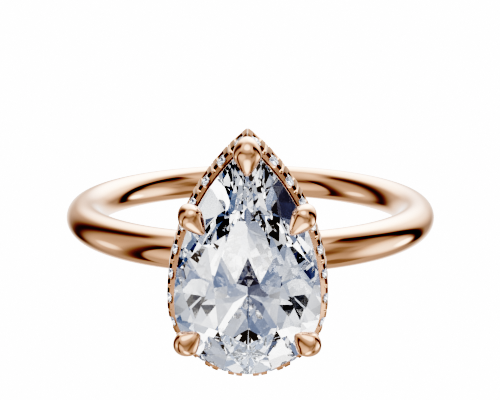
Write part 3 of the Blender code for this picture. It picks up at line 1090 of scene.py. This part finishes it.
    def build(self, finish: CutGoldPaintedShade, material: bpy.types.Material) -> None:
        """Lay a grid of rows along the section and columns along the run, and sink the columns of each cut.

        Columns keep to the walls of the scoops and slots as these narrow to their round ends. A column's
        offset is the surface's less its depth times the height of the surface over the cut's floor.
        """
        march = self.rows()
        place = self.surface(march)
        outer = march < self.marches()[3] + self.edge_round
        slot_outer = march < self.marches()[4] - self.edge_round
        slot = np.where(slot_outer, self.half_width(march, self.slot_start, self.slot_width), 0.0)
        scoop = np.where(outer, self.half_width(march, self.scoop_start, self.scoop_width), 0.0)
        slot_floor = np.interp(place[:, 1], (self.rim[1], self.back[1]), self.slot_floor)
        slot_depth = np.where(slot > 0, np.maximum(place[:, 0] - slot_floor, 0.0), 0.0)
        scoop_depth = np.where(scoop > 0, np.maximum(place[:, 0] - self.scoop_floor(place[:, 1]), 0.0), 0.0)
        centres = self.stones.runs()
        between = (centres[1:] + centres[:-1]) / 2
        starts = np.concatenate([[0.0], between])
        ends = np.concatenate([between, [self.stones.whole]])
        narrow = np.interp(self.from_tip(np.stack([starts, ends])), self.end_run, (1.0, self.end_slot))
        narrow[0, 0] = narrow[1, -1] = self.tip_slot
        mouths = np.maximum(slot[:, None, None] * narrow, self.lip)
        first = starts[:, None] + self.half_cell(march, mouths[:, 0], scoop, centres - starts)
        last = ends[:, None] - self.half_cell(march, mouths[:, 1], scoop, ends - centres)[:, :, :0:-1]
        middle = np.broadcast_to(centres[:, None], first.shape[:2] + (1,))
        run = np.concatenate([first, middle, last], axis=-1).reshape(len(march), -1)
        post = np.zeros(self.post_columns)
        slot_share = np.concatenate([self.slot_shares, post, np.zeros(len(self.scoop_shares))])
        scoop_share = np.concatenate([np.zeros(len(self.slot_shares)), post, self.scoop_shares])
        depth = slot_depth[:, None] * slot_share + scoop_depth[:, None] * scoop_share
        depth = np.concatenate([depth, scoop_depth[:, None], depth[:, :0:-1]], axis=1)
        # painted shade in the cuts: dark on the slot walls and the scoop edges, light on their floors;
        # elsewhere the section's painted shade
        cut_shade = np.concatenate([self.slot_shades, post, self.scoop_shades])
        cut_shade = np.concatenate([cut_shade, self.scoop_shades[-1:], cut_shade[:0:-1]])
        shade = np.where(depth > self.lip / 4, cut_shade, self.base_shade(march)[:, None])
        count = self.stones.count
        offset = place[:, :1] - np.tile(depth * (1.0 - self.keep), (1, count))
        drop = np.broadcast_to(place[:, 1:], offset.shape)
        sections = self.lay(run, offset, drop).transpose(1, 0, 2)
        mesh = skin("halo_gallery", sections, ring=True)
        away = self.from_tip(run)
        uncut = np.tile(depth, (1, count)) <= self.lip / 4
        face = uncut & (march < self.marches()[1])[:, None]
        in_scoop = np.concatenate([scoop_share, [1.0], scoop_share[:0:-1]]) > 0
        lips = ~uncut & np.tile(in_scoop, count) & (march < self.marches()[2])[:, None]
        satin = np.where(face, np.clip(away / self.bright_tip - 1.0, 0.0, 1.0), lips * self.lip_satin)
        # painted shadow line: the first sliver of the rim face along the stone's edge is painted black, near
        # the tip only
        line = face & (march < self.shadow_line_width)[:, None] & (away < self.shadow_line_run)
        # painted shade scaled by which way the rail faces: lighter at the tip and the round end, full on the
        # sides towards the tip
        knots = (0.0, self.tip_blend, *self.end_run)
        facing = np.interp(away, knots, (self.tip_shade, 1.0, 1.0, self.end_shade))
        shade = np.where(line, 1.0, np.tile(shade, (1, count)) * facing)
        # store the painted shade and the satin on the rail's points
        for name, values in ((finish.shade, shade), (finish.satin, satin)):
            attribute = mesh.attributes.new(name, "FLOAT", "POINT")
            attribute.data.foreach_set("value", values.T.astype(np.float32).ravel())
        place_piece("halo_gallery", mesh, material, Slot.ROSE_GOLD, "halo_rail", self.sharp_angle)

    def from_tip(self, run: np.ndarray) -> np.ndarray:
        """Run from the tip, by the shorter way."""
        past = np.mod(run, self.stones.whole)
        return np.minimum(past, self.stones.whole - past)

    def lay(self, run: np.ndarray, offset: np.ndarray, drop: np.ndarray) -> np.ndarray:
        """Places of rail points, square to the outline, and mitred, drawn out and raised close to the tip.

        Args:
            run: length along the rail at the stones' offset.
            offset: distance outside the girdle outline.
            drop: distance below the girdle's middle.

        Returns:
            World places.
        """
        line = self.stones.offset
        angle, side = self.outline.angle_at(run, line)
        near = np.clip(1.0 - self.from_tip(run) / self.tip_blend, 0.0, 1.0) ** 2
        drop = drop - near * self.tip_rise * np.maximum(drop - self.corner[1], 0.0)
        angle = angle + near * (self.outline.sweep(offset) - self.outline.sweep(line))
        points, _ = self.outline.at_angle(angle, side, offset)
        points[..., 1] += near * self.tip_draw * np.clip(drop / self.corner[1], 0.0, 1.0)
        return head_to_world(np.concatenate([points, (self.girdle_height - drop)[..., None]], axis=-1))


@dataclass(frozen=True)
class ClawPlace:
    """Where a claw meets the girdle, the way it faces, and its sizes.

    The stretch is how much further inwards the stone runs there than its outline moves.
    """

    name: str
    base: np.ndarray
    outward: np.ndarray
    stretch: float
    width: float
    proud: float
    reach: float


@dataclass
class Claws:
    """Five claws with teardrop heads, from the gallery rail over the girdle to a point on the crown."""

    outline: PearOutline
    stone: CentreStone
    stones: HaloStones
    gallery: GalleryRail
    tip_width: float = 1.23 * MM
    upper_width: float = 1.14 * MM
    lower_width: float = 1.20 * MM
    tip_proud: float = 0.50 * MM
    upper_proud: float = 0.75 * MM
    lower_proud: float = 0.62 * MM
    reach: float = 0.83 * MM
    tip_reach: float = 0.87 * MM
    stem: float = 0.54 * MM
    stem_lean: float = -33.0
    upper_run: float = 4.03 * MM
    lower_angle: float = math.radians(32.7)
    upper_turn: float = math.radians(27.0)
    lower_turn: float = math.radians(-7.0)
    seat_gap: float = 0.01 * MM
    steps: int = 24
    sides: int = 72
    sharp_angle: float = math.radians(24.0)

    def sections(self, place: ClawPlace) -> np.ndarray:
        """Rows of offset, height, lean in degrees, half thickness and half width, from foot to point."""
        half, proud, reach = place.width / 2, place.proud, place.reach
        stem = self.stem / 2
        top = self.stone.girdle_top
        slope = self.stone.crown_slope
        neck = self.stone.girdle_height - self.stones.drop + self.stones.stone.width / 2
        bead = np.array([proud - 1.32 * half, top + 0.78 * half])
        point = np.array([-reach, top + reach * slope + 0.04 * half])
        taper, nib = bead + 0.5 * (point - bead), bead + 0.8 * (point - bead)
        return np.array([
            (-self.gallery.inset, self.gallery.height, self.stem_lean, stem, stem),
            (-stem, neck, 0.6 * self.stem_lean, stem, 0.62 * half),
            (proud - 0.95 * half, top - 0.18 * half, 12.0, 0.95 * half, 0.78 * half),
            (proud - 1.03 * half, top + 0.40 * half, 35.0, 0.97 * half, 0.98 * half),
            (*bead, 57.0, 0.84 * half, 0.96 * half),
            (*taper, 71.0, 0.55 * half, 0.63 * half),
            (*nib, 76.0, 0.29 * half, 0.36 * half),
            (*point, 76.0, 0.06 * half, 0.11 * half),
        ])

    def places(self) -> list:
        """The tip claw, and a mirrored pair of claws at each of two levels."""
        tip, _ = self.outline.rim(np.array(0.0))
        inner_tip, _ = self.outline.rim(np.array(0.0), -self.gallery.inset)
        stretch = float(tip[1] - inner_tip[1]) / self.gallery.inset
        sizes = (self.tip_width, self.tip_proud, self.tip_reach)
        found = [ClawPlace("tip", tip, np.array([0.0, 1.0]), stretch, *sizes)]
        lower_run = float(self.outline.side_run(0.0)) + self.outline.radius * self.lower_angle
        levels = (
            ("upper", self.upper_run, self.upper_turn, self.upper_width, self.upper_proud),
            ("lower", lower_run, self.lower_turn, self.lower_width, self.lower_proud),
        )
        for level, run, turn, width, proud in levels:
            base, outward = self.outline.rim(np.array(run / float(self.outline.whole_run(0.0))))
            spin = np.array([[math.cos(turn), -math.sin(turn)], [math.sin(turn), math.cos(turn)]])
            for hand, side in (("right", 1.0), ("left", -1.0)):
                mirror = np.array([side, 1.0])
                facing = (spin @ outward) * mirror
                sizes = (width, proud, self.reach)
                found.append(ClawPlace(f"{level}_{hand}", base * mirror, facing, 1.0, *sizes))
        return found

    def claw(self, place: ClawPlace) -> bpy.types.Mesh:
        """Carry an ellipse along the claw: centre + normal thick cos(side) + across wide sin(side)."""
        offset, height, lean, thick, wide = through(self.sections(place), self.steps).T[..., None]
        side = 2 * math.pi * np.arange(self.sides)[None, :] / self.sides
        lean = np.radians(lean)
        reach = np.where(offset < 0, offset * place.stretch, offset)
        out = reach + thick * np.cos(lean) * np.cos(side)
        flat = place.base + out[..., None] * place.outward
        across = np.array([-place.outward[1], place.outward[0]])
        flat = flat + (wide * np.sin(side))[..., None] * across
        rise = height + thick * np.sin(lean) * np.cos(side)
        sections = head_to_world(np.concatenate([flat, rise[..., None]], axis=-1))
        return skin(f"{place.name}_teardrop_claw", sections, ring=False)

    def build(self, finish: Diamond, material: bpy.types.Material) -> None:
        """Build the five claws and cut the stone's seat out of each."""
        seat = self.stone.solid("stone_seat", self.seat_gap, finish.frost)
        for place in self.places():
            mesh = subtract(self.claw(place), seat)
            name = f"{place.name}_teardrop_claw"
            place_piece(name, mesh, material, Slot.ROSE_GOLD, f"{place.name}_claw", self.sharp_angle)


# Studio


def heading(azimuth: float, elevation: float) -> np.ndarray:
    """Unit direction, with azimuth in degrees from the camera's side towards +X and elevation up."""
    turn, rise = math.radians(azimuth), math.radians(elevation)
    return np.array([math.cos(rise) * math.sin(turn), -math.cos(rise) * math.cos(turn), math.sin(rise)])


@dataclass(frozen=True)
class Flag:
    """Dark bar in the studio, along a great circle between two headings, with a soft edge on each side."""

    start: tuple
    end: tuple
    half_width: float
    soft_left: float
    soft_right: float
    soft_end: float = 4.0
    depth: float = 1.0

    def mask(self, wiring: Wiring, way: Socket) -> Socket:
        """Share of the light that the bar takes in a direction: smooth steps across and along it."""
        first, last = heading(*self.start), heading(*self.end)
        middle = (first + last) / np.linalg.norm(first + last)
        pole = np.cross(first, last)
        pole /= np.linalg.norm(pole)
        along = np.cross(pole, middle)
        reach = math.acos(float(np.clip(first @ middle, -1.0, 1.0)))
        widths = (self.half_width, self.soft_left, self.soft_right, self.soft_end)
        half, left, right, fade = np.radians(widths)
        across = wiring.dot(way, tuple(pole))
        onward = wiring.dot(way, tuple(along))
        ahead = wiring.math("GREATER_THAN", wiring.dot(way, tuple(middle)), 0.0)
        edges = (
            wiring.ramp(across, -math.sin(half + left), -math.sin(half)),
            wiring.ramp(across, math.sin(half), math.sin(half + right), 1.0, 0.0),
            wiring.ramp(onward, -math.sin(reach + fade), -math.sin(reach)),
            wiring.ramp(onward, math.sin(reach), math.sin(reach + fade), 1.0, 0.0),
        )
        product = wiring.math("MULTIPLY", ahead, self.depth)
        for edge in edges:
            product = wiring.math("MULTIPLY", product, edge)
        return product


@dataclass(frozen=True)
class Panel:
    """Soft round patch of light, or of shade where its strength is negative, about a heading."""

    middle: tuple
    core: float
    fade: float
    strength: float

    def light(self, wiring: Wiring, way: Socket) -> Socket:
        """Strength of the patch in a direction, a smooth step of the angle from its middle."""
        near = wiring.dot(way, tuple(heading(*self.middle)))
        outer = math.cos(math.radians(self.core + self.fade))
        return wiring.ramp(near, outer, math.cos(math.radians(self.core)), 0.0, self.strength)


@dataclass(frozen=True)
class Wave:
    """Sine wave over the directions of the studio."""

    ways: tuple
    phase: float

    def height(self, wiring: Wiring, way: Socket) -> Socket:
        """Height of the wave in a direction: sin(ways . direction + phase)."""
        return wiring.math("SINE", wiring.math("ADD", wiring.dot(way, self.ways), self.phase))


@dataclass(frozen=True)
class Card:
    """Colour of the light where the waves have one height."""

    height: float
    colour: tuple


@dataclass(frozen=True)
class ToneCurve:
    """Contrast of the picture: light below the black point is crushed, and highlights ease towards white.

    out = 1 - exp(-lift), where lift is the light over the black point with a short soft toe.
    """

    black: float = 0.22
    toe: float = 0.03
    white: float = 8.0
    steps: int = 48

    def apply(self, view: bpy.types.ColorManagedViewSettings) -> None:
        """Set the curve as the scene's view curve."""
        view.view_transform = "Standard"
        view.look = "None"
        view.use_curve_mapping = True
        mapping = view.curve_mapping
        mapping.white_level = (self.white,) * 3
        share = np.linspace(0.0, 1.0, self.steps) ** 2
        over = share * self.white - self.black
        rise = (over + np.sqrt(over**2 + self.toe**2)) / 2
        value = 1.0 - np.exp(-rise)
        value -= value[0]
        points = mapping.curves[3].points
        for place, height in zip(share[1:-1], value[1:-1]):
            points.new(float(place), float(height))
        points[0].location = (0.0, 0.0)
        points[-1].location = (1.0, float(value[-1]))
        mapping.update()


@dataclass
class Studio:
    """White room with dark flags at the sides for the metal, and a cool mosaic of panels for the stones.

    Dim parts of the room are tinted by the gold that they face, and lit parts are white.
    """

    backdrop: float = 5.2
    ambient: float = 0.18
    dim: float = 1.2
    lit: float = 2.8
    dim_tint: tuple = (1.0, 0.915, 0.845, 1.0)
    lit_tint: tuple = (1.0, 1.03, 1.05, 1.0)
    flags: tuple = (
        Flag((-93.4, 48.4), (-134.6, -21.0), 0.2, 24.2, 20.6, 16.9, 0.82),
        Flag((-52.8, 15.7), (-93.8, -51.4), 0.2, 19.0, 4.1, 18.1, 0.80),
        Flag((78.9, 45.2), (129.2, -19.7), 0.4, 11.7, 10.7, 11.9, 0.90),
        Flag((65.1, 39.0), (83.5, 46.4), 4.9, 18.7, 3.8, 10.8, 0.60),
        Flag((56.8, 11.1), (29.5, -26.3), 2.9, 8.1, 13.1, 9.2, 0.40),
        Flag((61.2, -49.2), (96.3, -55.6), 3.2, 9.3, 9.9, 6.5, 0.50),
    )
    panels: tuple = (
        Panel((147.0, 36.0), 0.1, 44.5, 2.2),
        Panel((180.0, 47.0), 4.7, 38.8, 3.1),
        Panel((181.5, -20.5), 3.1, 37.0, 1.5),
        Panel((94.0, -18.0), 1.2, 29.0, 1.8),
        Panel((110.5, -19.5), 0.1, 10.5, 2.35),
        Panel((-97.0, -19.5), 0.1, 13.0, 1.1),
        Panel((-38.5, -21.0), 11.0, 24.0, 0.8),
        Panel((162.5, 14.0), 27.0, 30.0, 0.45),
        Panel((-1.0, 62.5), 14.0, 47.0, 1.3),
        Panel((14.0, -71.0), 32.0, 82.0, 0.94),
        Panel((-110.0, 20.0), 33.5, 32.0, 0.9),
        Panel((68.5, 25.5), 19.0, 19.5, 0.6),
        Panel((0.0, 63.0), 8.0, 18.0, 1.6),
        Panel((0.0, -62.0), 6.0, 22.0, 2.2),
    )
    waves: tuple = (
        Wave((-0.45, 0.97, -1.40), -2.04),
        Wave((-4.11, -1.59, -0.76), -0.38),
        Wave((-4.04, -2.11, -0.12), 1.65),
        Wave((-2.82, -5.34, -1.04), 0.59),
    )
    wave_gain: float = 2.53
    wave_shift: float = 0.17
    cards: tuple = (
        Card(-1.5, (0.03, 0.03, 0.05)),
        Card(-0.75, (0.04, 0.07, 0.17)),
        Card(-0.45, (0.34, 0.47, 0.74)),
        Card(-0.1, (1.19, 1.25, 1.35)),
        Card(0.25, (2.12, 2.12, 2.14)),
        Card(0.6, (3.3, 3.3, 3.3)),
        Card(1.2, (4.7, 4.7, 4.7)),
    )
    shadow: Panel = Panel((0.58, 12.59), 9.2, 4.0, 1.0)
    floor_drop: float = 25.0 * MM
    floor_size: float = 0.6
    bounces: int = 12

    def metal_sky(self, wiring: Wiring, way: Socket) -> Socket:
        """Light that the metal reflects: an even glow and soft panels, less what the flags take."""
        light = self.ambient
        for panel in self.panels:
            light = wiring.math("ADD", panel.light(wiring, way), light)
        for flag in self.flags:
            open_share = wiring.math("SUBTRACT", 1.0, flag.mask(wiring, way))
            light = wiring.math("MULTIPLY", light, open_share)
        tint = wiring.mix(wiring.ramp(light, self.dim, self.lit), self.dim_tint, self.lit_tint)
        return wiring.node("ShaderNodeVectorMath", {0: tint, "Scale": light}, operation="SCALE").outputs[0]

    def stone_sky(self, wiring: Wiring, way: Socket) -> Socket:
        """Light that the stones gather: cards of white, grey and blue laid by waves, and a dark patch."""
        total = self.wave_shift
        for wave in self.waves:
            height = wiring.math("MULTIPLY", wave.height(wiring, way), self.wave_gain / len(self.waves))
            total = wiring.math("ADD", height, total)
        low, high = self.cards[0].height, self.cards[-1].height
        share = wiring.math("DIVIDE", wiring.math("SUBTRACT", total, low), high - low)
        ramp = wiring.node("ShaderNodeValToRGB", {"Fac": share})
        brightest = max(self.cards[-1].colour)
        stops = ramp.color_ramp.elements
        while len(stops) < len(self.cards):
            stops.new(0.5)
        for stop, card in zip(stops, self.cards):
            stop.position = (card.height - low) / (high - low)
            stop.color = (*(part / brightest for part in card.colour), 1.0)
        open_share = wiring.math("SUBTRACT", 1.0, self.shadow.light(wiring, way))
        level = wiring.math("MULTIPLY", open_share, brightest)
        feeds = {0: ramp.outputs["Color"], "Scale": level}
        return wiring.node("ShaderNodeVectorMath", feeds, operation="SCALE").outputs[0]

    def build(self, floor_finish: PaleFloor) -> None:
        """Set the world, the floor, the picture's tones and the depth of the light paths."""
        scene = bpy.context.scene
        world = bpy.data.worlds.new("studio")
        scene.world = world
        world.use_nodes = True
        wiring = Wiring(world.node_tree)
        way = wiring.node("ShaderNodeTexCoord").outputs["Generated"]
        path = wiring.node("ShaderNodeLightPath")
        metal = self.metal_sky(wiring, way)
        stone = self.stone_sky(wiring, way)
        sky = wiring.mix(path.outputs[Ray.THROUGH_STONE.value], metal, stone)
        backdrop = (self.backdrop, self.backdrop, self.backdrop, 1.0)
        seen = wiring.mix(path.outputs[Ray.CAMERA.value], sky, backdrop)
        background = wiring.node("ShaderNodeBackground", {"Color": seen, "Strength": 1.0})
        wiring.node("ShaderNodeOutputWorld", {"Surface": background.outputs[0]})
        ToneCurve().apply(scene.view_settings)
        scene.cycles.max_bounces = self.bounces
        scene.cycles.glossy_bounces = self.bounces
        scene.cycles.transmission_bounces = self.bounces
        scene.cycles.blur_glossy = 0.0
        self.floor(floor_finish)

    def floor(self, finish: PaleFloor) -> None:
        """Lay the floor under the ring, seen by the camera alone."""
        half = self.floor_size / 2
        corners = [(-half, -half), (half, -half), (half, half), (-half, half)]
        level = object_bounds()[0][2] - self.floor_drop
        mesh = bpy.data.meshes.new("floor")
        mesh.from_pydata([(x, y, level) for x, y in corners], [], [(0, 1, 2, 3)])
        mesh.materials.append(finish.material())
        floor = bpy.data.objects.new("floor", mesh)
        bpy.context.scene.collection.objects.link(floor)
        floor.visible_glossy = False
        floor.visible_transmission = False
        floor.visible_diffuse = False
        floor.visible_shadow = False
        floor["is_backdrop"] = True
        log.info("floor laid")


@dataclass(frozen=True)
class PhotoCamera:
    """Camera at the photograph's place, with the finger hole's middle a little below the picture's middle."""

    distance: float = 62.4 * MM
    azimuth: float = 0.58
    elevation: float = 12.59
    lens: float = 80.0
    sensor: float = 36.0
    shift_right: float = -0.0007
    shift_up: float = 0.0232
    nearest: float = 0.005
    furthest: float = 10.0

    def place(self) -> None:
        """Add the camera and look through it."""
        data = bpy.data.cameras.new("photo_camera")
        data.lens = self.lens
        data.sensor_width = self.sensor
        data.shift_x = self.shift_right
        data.shift_y = self.shift_up
        data.clip_start = self.nearest
        data.clip_end = self.furthest
        camera = bpy.data.objects.new("photo_camera", data)
        camera.location = Vector(heading(self.azimuth, self.elevation)) * self.distance
        camera.rotation_euler = (-camera.location).to_track_quat("-Z", "Y").to_euler()
        bpy.context.scene.collection.objects.link(camera)
        bpy.context.scene.camera = camera
        log.info("camera placed")


@dataclass
class Ring:
    """The whole ring, from the band outwards."""

    girdle_rise: float = 2.92 * MM
    gallery_rise: float = 0.62 * MM

    def build(self) -> None:
        """Build every piece in its finish."""
        gold = RoseGold().material()
        diamond = Diamond()
        clear = diamond.material()
        outline = PearOutline()
        band = Band()
        girdle_height = band.top + self.girdle_rise
        stone = CentreStone(outline, girdle_height)
        stones = HaloStones(outline, girdle_height)
        gallery = GalleryRail(outline, band.top + self.gallery_rise)
        band.build(gold)
        gallery.build(gold)
        Feet(outline, band, gallery).build(gold)
        cut_gold = CutGoldPaintedShade()
        HaloRail(outline, stones, girdle_height).build(cut_gold, cut_gold.material())
        Claws(outline, stone, stones, gallery).build(diamond, gold)
        stone.build(diamond, clear)
        stones.build(diamond, clear)


def main() -> None:
    """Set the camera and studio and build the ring."""
    logging.basicConfig(level=logging.INFO, format="%(name)s: %(message)s")
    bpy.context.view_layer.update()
    PhotoCamera().place()
    Studio().build(PaleFloor())
    Ring().build()


if __name__ == "__main__":
    main()
